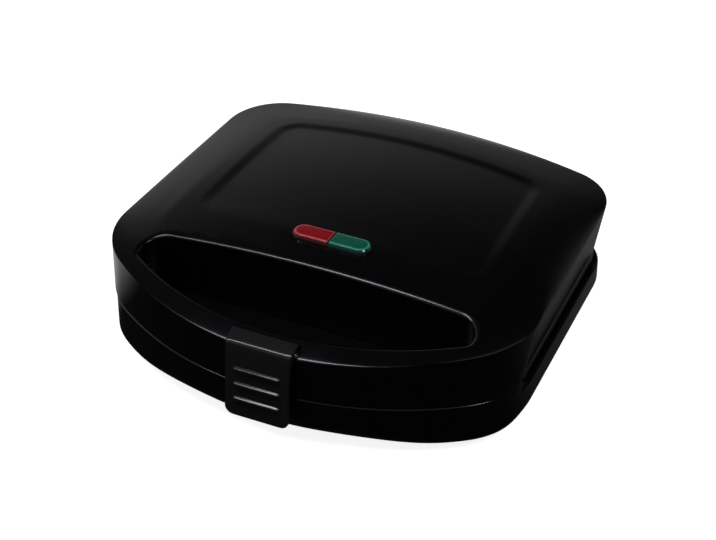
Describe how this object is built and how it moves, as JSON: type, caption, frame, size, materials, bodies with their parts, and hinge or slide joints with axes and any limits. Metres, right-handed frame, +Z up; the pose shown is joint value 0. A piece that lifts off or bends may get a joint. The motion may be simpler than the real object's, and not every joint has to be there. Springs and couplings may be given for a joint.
{
  "type": "sandwich toaster",
  "caption": "Closed sandwich toaster: crowned black lid with sunken panel and finger opening, two-colour indicator lens, front latch, hinged on a low base with feet.",
  "frame": {"origin": "centre of the footprint, on the table under the feet", "axes": "+X to the right seen from the front, +Y to the back where the hinges are, +Z up"},
  "size_m": [0.2358, 0.2363, 0.0733],
  "materials": {
    "gloss_black": "polished",
    "satin_black": "satin",
    "rubber": "matte",
    "plate_coating": "dark non-stick coating",
    "steel": "plain",
    "sheet": "bright",
    "lens_red": "clear tinted",
    "lens_green": "clear tinted",
    "lamp_red": "clear tinted",
    "lamp_green": "clear tinted",
    "ceramic": "matte",
    "fuse_case": "satin",
    "terminal_plastic": "matte"
  },
  "bodies": {
    "base": {"base_housing": "gloss_black", "bottom_cover": "satin_black", "foot_front_left": "rubber", "foot_front_right": "rubber", "foot_rear_left": "rubber", "foot_rear_right": "rubber", "bottom_cover_screws": "steel", "lower_plate": "plate_coating", "lower_plate_screws": "steel", "lower_element": "steel", "lower_element_clamps": "steel", "lower_heat_shield": "sheet", "thermostat": "ceramic", "thermal_fuse": "fuse_case", "terminal_block": "terminal_plastic", "cord_bushing": "satin_black", "hinge_pin_left": "steel", "hinge_pin_right": "steel"},
    "lid": {"lid_housing": "gloss_black", "lid_inner_frame": "satin_black", "lid_frame_screws": "steel", "upper_plate": "plate_coating", "upper_plate_screws": "steel", "upper_element": "steel", "upper_element_clamps": "steel", "upper_heat_shield": "sheet", "lens_red": "lens_red", "lens_green": "lens_green", "lamp_holder": "satin_black", "lamp_red": "lamp_red", "lamp_green": "lamp_green", "latch_pin": "steel"},
    "latch": {"latch": "gloss_black"}
  },
  "joints": [
    {"name": "lid_hinge", "type": "hinge", "parent": "base", "child": "lid", "pos_m": [0, 0.11395, 0.0308], "axis": [-1, 0, 0], "range_deg": [0, 105]},
    {"name": "latch_pivot", "type": "hinge", "parent": "lid", "child": "latch", "pos_m": [0, -0.1054, 0.0542], "axis": [-1, 0, 0], "range_deg": [0, 25]}
  ]
}
